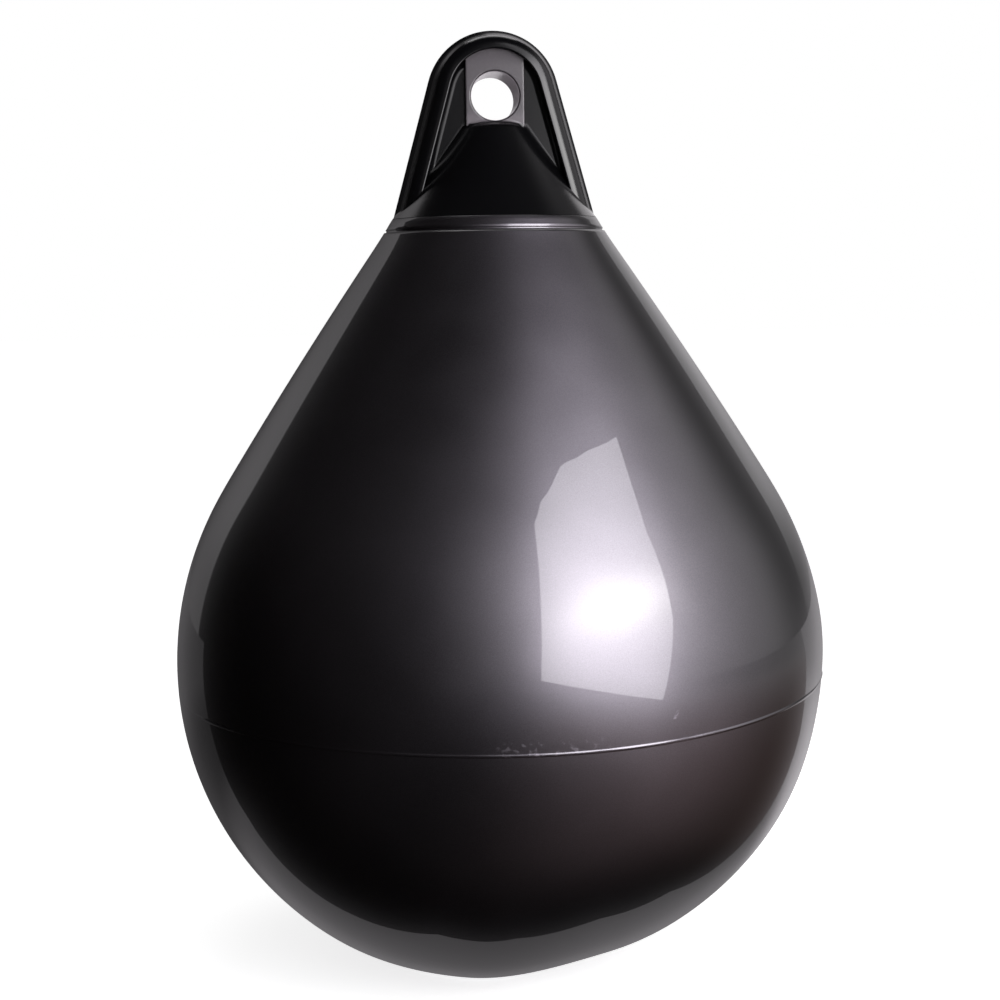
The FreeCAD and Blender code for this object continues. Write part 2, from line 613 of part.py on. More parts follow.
def make_valve_insert(doc):
    """The valve's insert: a flange on the seat, a sleeve through the wall and the screw's hole."""
    body = new_body(doc, "valve_insert")
    flange_r = CELL + "flange_d / 2"
    flange_top = CELL + "flange_thick"
    sleeve_r = CELL + "sleeve_d / 2"
    sleeve_end = "-" + CELL + "sleeve_length"
    hole_r = f"{CELL}screw_d / 2 + {CELL}valve_gap"
    recess_r = f"{CELL}screw_head_d / 2 + {CELL}valve_gap"
    recess = f"{CELL}flange_thick - {CELL}recess_depth"
    profile = half_section(body, "insert_section", [
        (hole_r, sleeve_end), (sleeve_r, sleeve_end), (sleeve_r, "0"), (flange_r, "0"),
        (flange_r, flange_top), (recess_r, flange_top), (recess_r, recess), (hole_r, recess)])
    turned(body, "Revolution", "insert", profile)
    stand_on_seat(body)
    return body


def make_valve_screw(doc):
    """The valve's screw: a round head in the insert's recess, with a slot, and a plain shank."""
    body = new_body(doc, "valve_screw")
    recess = f"{CELL}flange_thick - {CELL}recess_depth"
    shank_r = CELL + "screw_d / 2"
    head_r = CELL + "screw_head_d / 2"
    head_top = f"{recess} + {CELL}screw_head_thick"
    shank_end = f"{recess} - {CELL}screw_length"
    profile = half_section(body, "screw_section", [
        ("0", shank_end), (shank_r, shank_end), (shank_r, recess), (head_r, recess),
        (head_r, head_top), ("0", head_top)])
    turned(body, "Revolution", "screw", profile)
    slot = Outline(body, "slot_outline", role="XY_Plane", offset=head_top)
    half_wide = size("slot_width") / 2
    half_long = size("screw_head_d") / 2 + size("slot_width")
    corners = [(-half_long, -half_wide), (half_long, -half_wide), (half_long, half_wide),
               (-half_long, half_wide)]
    lines = slot.polygon(corners)
    long_formula = f"{CELL}screw_head_d / 2 + {CELL}slot_width"
    wide_formula = f"{CELL}slot_width / 2"
    for line, (across, up) in zip(lines, (("-", "-"), ("", "-"), ("", ""), ("-", ""))):
        slot.place(line, 1, f"{across}({long_formula})", f"{up}({wide_formula})")
    cut = add(body, "Pocket", "slot", slot)
    cut.setExpression("Length", CELL + "slot_depth")
    stand_on_seat(body)
    return body


def check(doc, bodies):
    """Stops before anything is written if a feature or a piece failed."""
    for item in doc.Objects:
        if {"Invalid", "Error"} & set(item.State):
            raise RuntimeError(f"{item.Name} failed: {item.State}")
    for body in bodies:
        if body.Shape.isNull() or not body.Shape.isValid():
            raise RuntimeError(f"{body.Label} is not a valid solid")


def main():
    doc = FreeCAD.newDocument("marker_buoy")
    make_sheet(doc)
    bodies = [make_shell(doc), make_head(doc), make_valve_insert(doc), make_valve_screw(doc)]
    doc.recompute()
    check(doc, bodies)
    os.makedirs("parts", exist_ok=True)
    for body in bodies:
        body.Shape.exportStep(f"parts/{body.Label}.step")
        box = body.Shape.BoundBox
        print(body.Label, round(body.Shape.Volume / 1000, 2), "cm3", len(body.Shape.Solids), "solid",
              [round(v, 2) for v in (box.XMin, box.XMax, box.YMin, box.YMax, box.ZMin, box.ZMax)])


main()
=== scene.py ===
import math
import random

import bpy
import numpy as np
from mathutils import Matrix


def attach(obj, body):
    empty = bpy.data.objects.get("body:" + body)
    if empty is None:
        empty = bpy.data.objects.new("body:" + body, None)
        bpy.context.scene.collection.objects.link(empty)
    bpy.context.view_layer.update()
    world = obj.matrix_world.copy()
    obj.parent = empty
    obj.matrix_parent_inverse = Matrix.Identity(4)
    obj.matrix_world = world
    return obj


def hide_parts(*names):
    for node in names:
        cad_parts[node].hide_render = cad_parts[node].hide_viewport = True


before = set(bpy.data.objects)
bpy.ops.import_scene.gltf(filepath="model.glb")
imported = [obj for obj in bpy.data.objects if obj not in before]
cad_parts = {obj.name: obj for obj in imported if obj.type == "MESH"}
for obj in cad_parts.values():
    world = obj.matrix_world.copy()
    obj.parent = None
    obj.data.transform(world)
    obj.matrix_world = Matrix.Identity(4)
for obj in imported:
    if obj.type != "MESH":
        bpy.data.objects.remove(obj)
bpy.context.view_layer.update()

# The viewpoint: a little left of the buoy's front and level with its shoulder, so that it looks
# slightly down on the belly and slightly up at the eye. A medium telephoto view, hardly tilted.
VIEW_DISTANCE = 0.8753
VIEW_HEIGHT = 0.311
VIEW_SIDE = 5.0
VIEW_TURN = 0.065
VIEW_PITCH = 6.41
VIEW_ROLL = -0.76
VIEW_LENS = 67.98
SENSOR_WIDTH = 36.0

lens = bpy.data.cameras.new("viewpoint")
lens.sensor_width = SENSOR_WIDTH
lens.lens = VIEW_LENS
viewpoint = bpy.data.objects.new("viewpoint", lens)
viewpoint.location = (-VIEW_DISTANCE * math.sin(math.radians(VIEW_SIDE)),
                      -VIEW_DISTANCE * math.cos(math.radians(VIEW_SIDE)), VIEW_HEIGHT)
aim = (Matrix.Rotation(math.radians(-VIEW_SIDE - VIEW_TURN), 4, "Z")
       @ Matrix.Rotation(math.radians(90 - VIEW_PITCH), 4, "X")
       @ Matrix.Rotation(math.radians(VIEW_ROLL), 4, "Z"))
viewpoint.rotation_euler = aim.to_euler()
bpy.context.scene.collection.objects.link(viewpoint)
bpy.context.scene.camera = viewpoint
bpy.context.scene.view_settings.view_transform = "Standard"


# The body: an inflated hollow moulding of soft vinyl, graphite with a pearl pigment under a clear
# skin that the mould polished. The mould's parting line runs round it a little below the widest
# level and climbs to the right, and the base it rests on is drawn up a little on that side.
BELLY_R = 0.150
BELLY_Z = 0.139
BASE_ROUND = 0.095
SHOULDER_ROUND = 0.1544
FLANK_ROUND = 2.500
FLANK_ANGLE = math.radians(35)
NECK = (0.04992, 0.336997)
COLLAR = (0.046687, 0.342597)
COLLAR_ANGLE = math.radians(30)
WALL = 0.0028
SOFTNESS = 0.007
GROOVE_ROUND = 0.0007
EDGE_ROUND = 0.0004
INSIDE_TOP_GAP = 0.002

SEAM_LEVEL = 0.128
SEAM_ROUND = 0.0006
SEAM_SINK = 0.00025
SEAM_CLIMB = 0.006
SEAM_CLIMB_SPREAD = 0.035
BEAD_HEIGHT = 0.62
BEAD_WAVES = (3, 7, 11, 19, 31, 53)
BEAD_WAVE = 0.10
BEAD_FADE = 0.38
BEAD_FADE_SHARP = 3.0

DRAWN_UP = 0.0052
DRAWN_FROM = -0.022
DRAWN_TO = 0.040

STRAIGHT_POINTS = 200
ARC_POINTS = 400
SOFT_STEPS = 20
OUTSIDE_RINGS = 230
INSIDE_RINGS = 90
TURNS = 240

PEARL_GRAPHITE = (0.40, 0.374, 0.42)
# Where the marks on the skin fade in and out, in metres.
FRONT = (-0.05, -0.10)
SEAM_FACE = (0.0016, 0.0006)
FLASH_ACROSS = (-0.022, -0.010, 0.020, 0.035)
FLASH_OVER_SEAM = (-0.0015, 0.0, 0.004, 0.007)
NICK = (0.0579, 0.1383)
NICK_TURN = math.radians(22.7)
NICK_LEAN = 0.55
NICK_HALF = (0.0011, 0.0003)
NICK_UP = (-0.0004, 0.0002, 0.0012, 0.0046)


def run_along(line):
    """The length of a line up to each of its points."""
    return np.append(0.0, np.cumsum(np.linalg.norm(np.diff(line, axis=0), axis=1)))


def sampled(distances, run, values):
    """The pairs of values at some distances along a line."""
    return np.stack([np.interp(distances, run, values[:, k]) for k in (0, 1)], 1)


def inflated_line():
    """The skin's outer line from the pole up to the collar's top, evenly spaced, its curves eased."""
    base_r = math.sqrt((BELLY_R - BASE_ROUND) ** 2 - (BELLY_Z - BASE_ROUND) ** 2)
    flank_x = NECK[0] - FLANK_ROUND * math.cos(FLANK_ANGLE)
    turn = math.acos((BELLY_R - SHOULDER_ROUND - flank_x) / (FLANK_ROUND - SHOULDER_ROUND))
    flank_z = BELLY_Z - (FLANK_ROUND - SHOULDER_ROUND) * math.sin(turn)
    low = math.atan2(BASE_ROUND - BELLY_Z, base_r)
    arcs = (((base_r, BASE_ROUND), BASE_ROUND, -math.pi / 2, low),
            ((0.0, BELLY_Z), BELLY_R, low, 0.0),
            ((BELLY_R - SHOULDER_ROUND, BELLY_Z), SHOULDER_ROUND, 0.0, turn),
            ((flank_x, flank_z), FLANK_ROUND, turn, FLANK_ANGLE))
    parts = [np.linspace((-base_r, 0.0), (base_r, 0.0), STRAIGHT_POINTS)]
    for (x, z), radius, start, end in arcs:
        angle = np.linspace(start, end, ARC_POINTS)
        parts.append(np.stack((x + radius * np.cos(angle), z + radius * np.sin(angle)), 1))
    past = 6 * SOFTNESS
    collar_end = (COLLAR[0] - past * math.sin(COLLAR_ANGLE),
                  COLLAR[1] + past * math.cos(COLLAR_ANGLE))
    parts.append(np.linspace(NECK, collar_end, STRAIGHT_POINTS))
    line = np.concatenate(parts)
    run = run_along(line)
    step = SOFTNESS / SOFT_STEPS
    line = sampled(np.arange(0.0, run[-1], step), run, line)
    reach = 3 * SOFT_STEPS
    spread = np.exp(-0.5 * (np.arange(-reach, reach + 1) / SOFT_STEPS) ** 2)
    spread /= spread.sum()
    eased = np.stack([np.convolve(line[:, k], spread, "same") for k in (0, 1)], 1)[reach:-reach]
    return eased[(eased[:, 0] > -step / 2) & (eased[:, 1] < COLLAR[1])]


def skin_section():
    """The section from the pole up the outside, over the collar's edge and down the inside.

    The outside has the seam's bead and the neck's groove, and the bead's rise is given beside it.
    """
    line = inflated_line()
    run = run_along(line)
    along = np.gradient(line, axis=0)
    along /= np.linalg.norm(along, axis=1)[:, None]
    out = np.stack((along[:, 1], -along[:, 0]), 1)
    seam_run = np.interp(SEAM_LEVEL, line[:, 1], run)
    neck_run = np.interp(NECK[1], line[:, 1], run)
    half_seam = math.sqrt(SEAM_ROUND ** 2 - SEAM_SINK ** 2)

    across = np.array([-1.0, -0.95, -0.8, -0.6, -0.3, 0.0, 0.3, 0.6, 0.8, 0.95, 1.0])
    outer = np.linspace(0.0, run[-1] - EDGE_ROUND, OUTSIDE_RINGS)
    clear = (abs(outer - seam_run) > half_seam) & (abs(outer - neck_run) > GROOVE_ROUND)
    outer = np.sort(np.concatenate((outer[clear], seam_run + across * half_seam,
                                    neck_run + across * GROOVE_ROUND)))
    from_seam = abs(outer - seam_run)
    bead = np.sqrt(np.maximum(SEAM_ROUND ** 2 - from_seam ** 2, 0.0)) - SEAM_SINK
    bead = np.maximum(np.where(from_seam <= half_seam * 1.001, bead, 0.0), 0.0)
    groove = np.sqrt(np.maximum(GROOVE_ROUND ** 2 - (outer - neck_run) ** 2, 0.0))
    outside = sampled(outer, run, line) + sampled(outer, run, out) * (bead - groove)[:, None]

    top_x, top_z = line[-1]
    edge = [(top_x - EDGE_ROUND * 0.6, top_z), (top_x - EDGE_ROUND * 1.6, top_z),
            (top_x - WALL / math.cos(COLLAR_ANGLE), top_z)]
    inner = np.linspace(run[-1] - INSIDE_TOP_GAP, 0.0, INSIDE_RINGS)
    inside = sampled(inner, run, line) - sampled(inner, run, out) * WALL
    section = np.concatenate((outside, edge, inside))
    section[0, 0] = section[-1, 0] = 0.0
    return section, np.append(bead, np.zeros(len(edge) + len(inside)))


def smooth(share):
    """A share from 0 to 1 that leaves both ends gently."""
    return share ** 2 * (3.0 - 2.0 * share)


def ring_faces(first, rings, around):
    """The faces between rings of points that follow each other, from the first point's number."""
    return [(first + i * around + j, first + i * around + (j + 1) % around,
             first + (i + 1) * around + (j + 1) % around, first + (i + 1) * around + j)
            for i in range(rings - 1) for j in range(around)]


def add_mesh(name, points, faces):
    """A new object in the scene, with a mesh of its own."""
    mesh = bpy.data.meshes.new(name)
    mesh.from_pydata(points, [], faces)
    made = bpy.data.objects.new(name, mesh)
    bpy.context.scene.collection.objects.link(made)
    return made


section, bead = skin_section()
turns = np.arange(TURNS) * 2 * math.pi / TURNS
wander = random.Random(7)
bead_height = BEAD_HEIGHT * np.ones(TURNS)
for wave in BEAD_WAVES:
    bead_height += BEAD_WAVE * np.sin(wave * turns + wander.uniform(0, 6.3))
bead_height *= 1.0 - BEAD_FADE + BEAD_FADE * np.tanh(BEAD_FADE_SHARP * np.cos(turns))

radii = section[1:-1, :1] - bead[1:-1, None] * (1.0 - bead_height)
heights = np.repeat(section[1:-1, 1:], TURNS, axis=1)
rings = np.stack((radii * np.cos(turns), radii * np.sin(turns), heights), 2).reshape(-1, 3)
points = np.concatenate(([(0.0, 0.0, section[0, 1])], rings, [(0.0, 0.0, section[-1, 1])]))

depth = np.clip(1.0 - points[:, 2] / BELLY_Z, 0.0, 1.0)
aside = np.clip((points[:, 0] - DRAWN_FROM) / (DRAWN_TO - DRAWN_FROM), 0.0, 1.0)
climb = np.clip(points[:, 0] / BELLY_R, 0.0, 1.0) ** 2
near_level = np.exp(-((points[:, 2] - SEAM_LEVEL) / SEAM_CLIMB_SPREAD) ** 2)
points[:, 2] += SEAM_CLIMB * climb * near_level
points[:, 2] += DRAWN_UP * smooth(depth) * smooth(aside)

ring_count = len(section) - 2
last = 1 + (ring_count - 1) * TURNS
faces = ring_faces(1, ring_count, TURNS)
faces += [(0, 1 + (j + 1) % TURNS, 1 + j) for j in range(TURNS)]
faces += [(len(points) - 1, last + j, last + (j + 1) % TURNS) for j in range(TURNS)]
skin = add_mesh("body_skin", points.tolist(), faces)
skin.data.shade_smooth()
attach(skin, "root")
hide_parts("body_shell")


class Signal:
    """A socket in a finish's nodes. Arithmetic on it adds the Math nodes."""

    def __init__(self, tree, socket=None):
        self.tree = tree
        self.socket = socket

    def node(self, kind, settings=None, out=0, **inputs):
        """Adds a node: its settings first, then what its sockets take."""
        made = self.tree.nodes.new("ShaderNode" + kind)
        for name, value in (settings or {}).items():
            setattr(made, name, value)
        self.fill(made, **inputs)
        return Signal(self.tree, made.outputs[out])

    def fill(self, made, **inputs):
        """Feeds a node's sockets by name, with _ for a space, or by number, as i0."""
        for name, value in inputs.items():
            key = int(name[1:]) if name[1:].isdigit() else name.replace("_", " ")
            self.feed(made.inputs[key], value)

    def feed(self, socket, value):
        """Links a signal to a socket, or sets a plain value on it."""
        if isinstance(value, Signal):
            self.tree.links.new(value.socket, socket)
        else:
            socket.default_value = value

    def outputs(self):
        """All outputs of the node that this signal comes from."""
        return [Signal(self.tree, socket) for socket in self.socket.node.outputs]

    def math(self, operation, *values):
        inputs = {f"i{i}": value for i, value in enumerate(values)}
        return self.node("Math", {"operation": operation}, **inputs)

    def __add__(self, other):
        return self.math("ADD", self, other)

    __radd__ = __add__

    def __sub__(self, other):
        return self.math("SUBTRACT", self, other)

    def __rsub__(self, other):
        return self.math("SUBTRACT", other, self)

    def __mul__(self, other):
        return self.math("MULTIPLY", self, other)

    __rmul__ = __mul__

    def __truediv__(self, other):
        return self.math("DIVIDE", self, other)

    def __pow__(self, other):
        return self.math("POWER", self, other)

    def __abs__(self):
        return self.math("ABSOLUTE", self)

    def or_more(self, other):
        """The larger of the two."""
        return self.math("MAXIMUM", self, other)

    def ramp(self, low, high):
        """0 below low, 1 above high, smooth between. Falls instead where low is the larger."""
        kind = {"interpolation_type": "SMOOTHSTEP"}
        if low < high:
            return self.node("MapRange", kind, i0=self, i1=low, i2=high, i3=0.0, i4=1.0)
        return self.node("MapRange", kind, i0=self, i1=high, i2=low, i3=1.0, i4=0.0)

    def band(self, start, full, fade, end):
        """0 up to start, 1 from full to fade, and 0 again from end."""
        return self.ramp(start, full) * self.ramp(end, fade)

    def tint(self, dark, light):
        """A colour between two, by this signal."""
        colours = {"i6": (*dark, 1.0), "i7": (*light, 1.0)}
        return self.node("Mix", {"data_type": "RGBA"}, out=2, i0=self, **colours)

    def place(self):
        """The place on the piece, in the object's own frame."""
        return self.node("TexCoord", out=3)

    def axes(self):
        """The x, y and z of a place."""
        return self.node("SeparateXYZ", Vector=self).outputs()

    def noise(self, scale, detail=2.0):
        """Noise over a place, with scale grains in a metre."""
        return self.node("TexNoise", Vector=self, Scale=scale, Detail=detail)

    def facing(self):
        """0 where the surface faces the viewer, 1 where it turns away."""
        return self.node("LayerWeight", out=1, Blend=0.5)


def new_finish(name):
    """A material, a signal to start from, and its shader."""
    material = bpy.data.materials.new(name)
    material.use_nodes = True
    return material, Signal(material.node_tree), material.node_tree.nodes["Principled BSDF"]


pearl, on_skin, pearl_shader = new_finish("body_pearl_vinyl")
skin_place = on_skin.place()
skin_x, skin_y, skin_z = skin_place.axes()
skin_right = skin_x.or_more(0.0) / BELLY_R
over_seam = skin_z - skin_right * skin_right * SEAM_CLIMB - SEAM_LEVEL
on_front = skin_y.ramp(*FRONT)

# The pigment: slow clouds and fine flakes, with a painted shade that darkens them by up to 92 per
# cent where the skin turns away from the viewer.
cloud = skin_place.noise(scale=9.0, detail=3.0)
flake = skin_place.noise(scale=2600.0, detail=1.0)
facing = on_skin.facing()
pigment_and_painted_shade = (cloud * 0.75 + flake * 0.25) * (1.0 - facing.ramp(0.20, 0.60) * 0.92)

# The marks of the mould: flecks of flash just over the seam in front, and a ragged nick beside them.
flecks = skin_place.noise(scale=420.0).ramp(0.55, 0.7)
flash = over_seam.band(*FLASH_OVER_SEAM) * skin_x.band(*FLASH_ACROSS) * flecks * on_front
nick_x = (skin_x - NICK[0]) / math.cos(NICK_TURN)
nick_up = skin_z - NICK[1]
ragged = skin_place.noise(scale=900.0).ramp(0.35, 0.60)
nick = (abs(nick_x - nick_up * NICK_LEAN).ramp(*NICK_HALF) * nick_up.band(*NICK_UP)
        * ragged * on_front)
marks = (flash * 0.6).or_more(nick)
on_seam = abs(over_seam).ramp(*SEAM_FACE)
relief = skin_place.noise(scale=5.0) * 0.3 + on_seam * flecks * 0.2 + marks * 0.3
on_skin.fill(pearl_shader,
             Base_Color=(pigment_and_painted_shade + marks * 0.4).tint((0.0, 0.0, 0.0), PEARL_GRAPHITE),
             Metallic=1.0,
             Roughness=cloud * 0.04 + flake * 0.03 + 0.345 + marks * 0.2,
             Coat_Weight=((1.0 - facing.ramp(0.35, 0.75) * 0.6)
                          * (1.0 - facing.ramp(0.80, 0.95) * 0.5)),
             Coat_Roughness=0.012,
             Coat_IOR=1.6,
             Normal=on_skin.node("Bump", Strength=0.06, Distance=0.002, Height=relief))
skin.data.materials.append(pearl)


# The head: one hard black moulding, a rope eye over a blunt cone, polished by the mould but softer
# in gloss than the body, with the faint flow marks of moulding. The bore's wall is painted a light
# grey that stands for light falling on it, the pad a dull grey and the pad's foot a painted
# highlight, all but the rounded mouth between them.
HEAD_BLACK = (0.0025, 0.0025, 0.003)
# Painted light: the light grey of the bore's wall, which the pad also takes, dimmed to a dull grey.
GREY_AND_PAINTED_LIGHT = (0.420, 0.380, 0.415)
PAD_GREY = 0.20
# The pad's foot gets more grey as a painted highlight.
PAD_FOOT_HIGHLIGHT = 0.12
BORE_Z = 0.396588
BORE_R = 0.01075
CONE_FOOT_R = 0.04624
CONE_SLOPE = 0.7926
CONE_HOLLOW = 2.61
RIM_LEAN = math.radians(15.43)
# Where the head's grey, painted-light and duller faces fade in and out, in metres.
BORE_WALL = (BORE_R + 0.0003, BORE_R + 0.0001)
BORE_MOUTH = (0.0110, 0.0118)
PAD_FACE = (0.0134, 0.0138, 0.0142, 0.0146)
PAD_SIDE = (0.0134, 0.0129)
PAD_FOOT = (-0.005, -0.011)
POCKET_FLOOR = (0.0105, 0.0108, 0.0112, 0.0116)
CONE_FACE = (0.0010, 0.0005)
CONE_TOP = (0.385, 0.384)
RIM_OUTSIDE = (0.0270, 0.0286)
RIM_INSIDE = (0.0265, 0.0250)
ARCH_HALF = (0.026, 0.010)
ARCH_OVER_BORE = (0.012, 0.018)


def length_of(across, along):
    """The length that two measures at right angles make."""
    return (across ** 2.0 + along ** 2.0) ** 0.5


black, on_head, black_shader = new_finish("head_black_vinyl")
head_place = on_head.place()
head_x, head_y, head_z = head_place.axes()
head_facing = on_head.facing()
grain = head_place.noise(scale=900.0)
flow = head_place.noise(scale=35.0, detail=3.0)
beside = abs(head_x)
from_middle = abs(head_y)
over_bore = head_z - BORE_Z
from_bore = length_of(head_x, over_bore)

# Where the cone's face is: its radius falls with the height, along a hollow curve.
cone_rise = head_z - COLLAR[1]
cone_r = CONE_FOOT_R - cone_rise * CONE_SLOPE + cone_rise * cone_rise * CONE_HOLLOW
on_cone = (length_of(head_x, head_y) - cone_r).ramp(*CONE_FACE) * head_z.ramp(*CONE_TOP)
off_cone = 1.0 - on_cone

# Painted light grey on the bore's wall, a dull grey on the pad, and more grey at the pad's foot as a
# painted highlight.
in_bore = from_bore.ramp(*BORE_WALL)
on_pad = from_middle.band(*PAD_FACE) * beside.ramp(*PAD_SIDE) * off_cone
# The pad's dull grey, with a painted highlight at its foot.
pad_grey_and_highlight = (on_pad * from_bore.ramp(*BORE_MOUTH)
            * (over_bore.ramp(*PAD_FOOT) * PAD_FOOT_HIGHLIGHT + PAD_GREY))
# The bore's painted light and the pad's grey, mottled by the flow marks and grain.
head_grey_and_painted_light = in_bore.or_more(pad_grey_and_highlight) * (flow * 0.3 + grain * 0.2 + 0.75)

# Less gloss on the rim's outer edge, under its arch and on the pockets' floors.
past_side = beside * math.cos(RIM_LEAN) + over_bore * math.sin(RIM_LEAN)
past_arch = (over_bore * math.cos(RIM_LEAN) - beside * math.sin(RIM_LEAN)).or_more(0.0)
from_eye = length_of(past_side, past_arch)
on_edge = from_eye.ramp(*RIM_OUTSIDE) * head_facing.ramp(0.15, 0.45)
under_arch = (from_eye.ramp(*RIM_INSIDE) * head_x.ramp(*ARCH_HALF)
              * over_bore.ramp(*ARCH_OVER_BORE))
on_pocket_floor = from_middle.band(*POCKET_FLOOR) * off_cone * (1.0 - in_bore)
on_head.fill(black_shader,
             Base_Color=head_grey_and_painted_light.tint(HEAD_BLACK, GREY_AND_PAINTED_LIGHT),
             Roughness=flow * 0.06 + 0.30,
             IOR=1.15,
             Specular_IOR_Level=0.0,
             Coat_Weight=((1.0 - on_edge * 0.96 * off_cone) * (1.0 - on_pocket_floor * 0.6)
                          * (1.0 - under_arch * 0.7)),
             Coat_Roughness=0.20,
             Coat_IOR=1.6,
             Normal=on_head.node("Bump", Strength=0.08, Distance=0.0006,
                                 Height=grain * 0.4 + flow * 0.6))
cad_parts["rope_eye"].data.materials[0] = black


# The valve: an insert of satin black plastic, pressed into the back of the head, and the slotted
# screw of the same plastic that closes it.
VALVE_BLACK = (0.022, 0.022, 0.024)
VALVE_SPECKLE = (0.034, 0.034, 0.036)

satin, on_valve, satin_shader = new_finish("valve_satin_plastic")
speckle = on_valve.place().noise(scale=1500.0)
on_valve.fill(satin_shader,
              Base_Color=speckle.ramp(0.3, 0.7).tint(VALVE_BLACK, VALVE_SPECKLE),
              Roughness=speckle * 0.12 + 0.36,
              Normal=on_valve.node("Bump", Strength=0.15, Distance=0.0002, Height=speckle))
for name in ("valve_insert", "valve_screw"):
    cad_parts[name].data.materials[0] = satin


# The room: a white studio with a pale, plain floor, which takes the buoy's shadow. Both look white
# in the picture and in a mirror, and light the object at a plain level.
FLOOR_HALF = 12.0
FLOOR_PALE = (0.86, 0.86, 0.86)
FLOOR_GLOW = 0.75
ROOM_LIGHT = 0.3
WHITE = (1.0, 1.0, 1.0)


def bare_material(name):
    """A material without a shader, a signal to start from, and the socket of its surface."""
    material = bpy.data.materials.new(name)
    material.use_nodes = True
    tree = material.node_tree
    tree.nodes.remove(tree.nodes["Principled BSDF"])
    return material, Signal(tree), tree.nodes["Material Output"].inputs["Surface"]


def seen_light(signal):
    """1 for what the camera, a mirror or a clear body sees, 0 for light that falls on things."""
    rays = {ray.socket.name: ray for ray in signal.node("LightPath").outputs()}
    seen = rays["Is Camera Ray"].or_more(rays["Is Glossy Ray"])
    return seen.or_more(rays["Is Transmission Ray"])


def add_stage(name, points, faces, material):
    """A piece of the studio, which is no part of the buoy."""
    made = add_mesh(name, points, faces)
    made.data.materials.append(material)
    return made


floor_material, on_floor, floor_out = bare_material("pale_floor")
floor_glow = on_floor.node("Emission", Color=(*WHITE, 1.0), Strength=FLOOR_GLOW)
floor_matt = on_floor.node("BsdfDiffuse", Color=(*FLOOR_PALE, 1.0))
floor_seen = on_floor.node("AddShader", i0=floor_matt, i1=floor_glow)
on_floor.feed(floor_out, on_floor.node("MixShader", i0=seen_light(on_floor),
                                       i1=floor_matt, i2=floor_seen))
add_stage("floor", [(-FLOOR_HALF, -FLOOR_HALF, 0), (FLOOR_HALF, -FLOOR_HALF, 0),
                    (FLOOR_HALF, FLOOR_HALF, 0), (-FLOOR_HALF, FLOOR_HALF, 0)],
          [(0, 1, 2, 3)], floor_material)

room = bpy.data.worlds.new("room")
room.use_nodes = True
bpy.context.scene.world = room
in_room = Signal(room.node_tree)
white = in_room.node("Background", Color=(*WHITE, 1.0), Strength=1.0)
ambient = in_room.node("Background", Color=(*WHITE, 1.0), Strength=ROOM_LIGHT)
in_room.feed(room.node_tree.nodes["World Output"].inputs["Surface"],
             in_room.node("MixShader", i0=seen_light(in_room), i1=ambient, i2=white))

# The dark cloth: one round curtain of black cloth that only the polished skin mirrors, a little grey
# in the middle of the front and dark grey on the right. It opens behind the buoy, where a grey net
# dims the white room, darker on the left.
CLOTH_R = 2.4
CLOTH_FOOT = 0.002
CLOTH_RINGS = 25
CLOTH_STEPS = 64
CLOTH_BLACK = (0.005, 0.004, 0.004)
CLOTH_GREY = (1.0, 0.97, 1.0)
OPEN_LEFT = math.radians(-132.3)
OPEN_RIGHT = math.radians(131)
OPEN_SOFT = 0.015
LEFT_LEAN = 0.045
RIGHT_LEAN = 0.09
FRONT_LEVEL = 0.12
RIGHT_LEVEL = 0.68
RIGHT_END_DROP = 0.55
# Where the cloth's parts fade in and out: heights in metres, and angles round from the front.
LEAN_HEIGHTS = (0.3, 1.2)
ROOF_HEIGHTS = (1.7, 2.1)
FRONT_SPAN = (-0.60, -0.15, 0.6, 0.9)
FRONT_HEIGHTS = (-0.2, 0.5, 1.5, 2.2)
RIGHT_START = (0.62, 1.15)
RIGHT_END = (1.7, 2.2)
RIGHT_HEIGHTS = (-0.4, 0.1, 1.5, 2.2)
NET_MIDDLE = (-0.1, 0.1)
NET_LEFT = (-2.95, -2.2)
NET_LEFT_HEIGHTS = (0.2, 0.9)
NET_RIGHT = (2.3, 3.0)
NET_RIGHT_HEIGHTS = (0.15, 0.8)


def glow(level, colour, strength=1.0):
    """Light of a colour, by a level."""
    return level.node("Emission", Color=level.tint((0.0, 0.0, 0.0), colour), Strength=strength)


def cloth_lit_by(signal, *lights):
    """The black cloth's own faint light, with others added to it."""
    total = signal.node("Emission", Color=(*CLOTH_BLACK, 1.0), Strength=1.0)
    for light in lights:
        total = signal.node("AddShader", i0=light, i1=total)
    return total


cloth_material, on_cloth, cloth_out = bare_material("dark_cloth")
cloth_x, cloth_y, up = on_cloth.place().axes()
around = on_cloth.math("ARCTAN2", cloth_x, 0.0 - cloth_y)
lean = up.ramp(*LEAN_HEIGHTS)
hangs = ((around + lean * LEFT_LEAN).ramp(OPEN_LEFT - OPEN_SOFT, OPEN_LEFT + OPEN_SOFT)
         * (around - lean * RIGHT_LEAN).ramp(OPEN_RIGHT + OPEN_SOFT, OPEN_RIGHT - OPEN_SOFT))
closed = hangs.or_more(up.ramp(*ROOF_HEIGHTS))
front_grey = around.band(*FRONT_SPAN) * up.band(*FRONT_HEIGHTS) * FRONT_LEVEL
right_grey = (around.ramp(*RIGHT_START) * up.band(*RIGHT_HEIGHTS)
              * (RIGHT_LEVEL - around.ramp(*RIGHT_END) * RIGHT_END_DROP))
higher = up.ramp(*NET_LEFT_HEIGHTS)
net_left = around.ramp(*NET_LEFT) * 0.42 * (1.0 + higher * 0.5) + 0.06 + higher * 0.08
net_right = around.ramp(*NET_RIGHT) * 0.42 + 0.30 + up.ramp(*NET_RIGHT_HEIGHTS) * 0.80
net_grey = around.ramp(*NET_MIDDLE) * (net_right - net_left) + net_left
cloth_level = (front_grey + right_grey) * closed + net_grey * (1.0 - closed)
on_cloth.feed(cloth_out, cloth_lit_by(on_cloth, glow(cloth_level, CLOTH_GREY)))

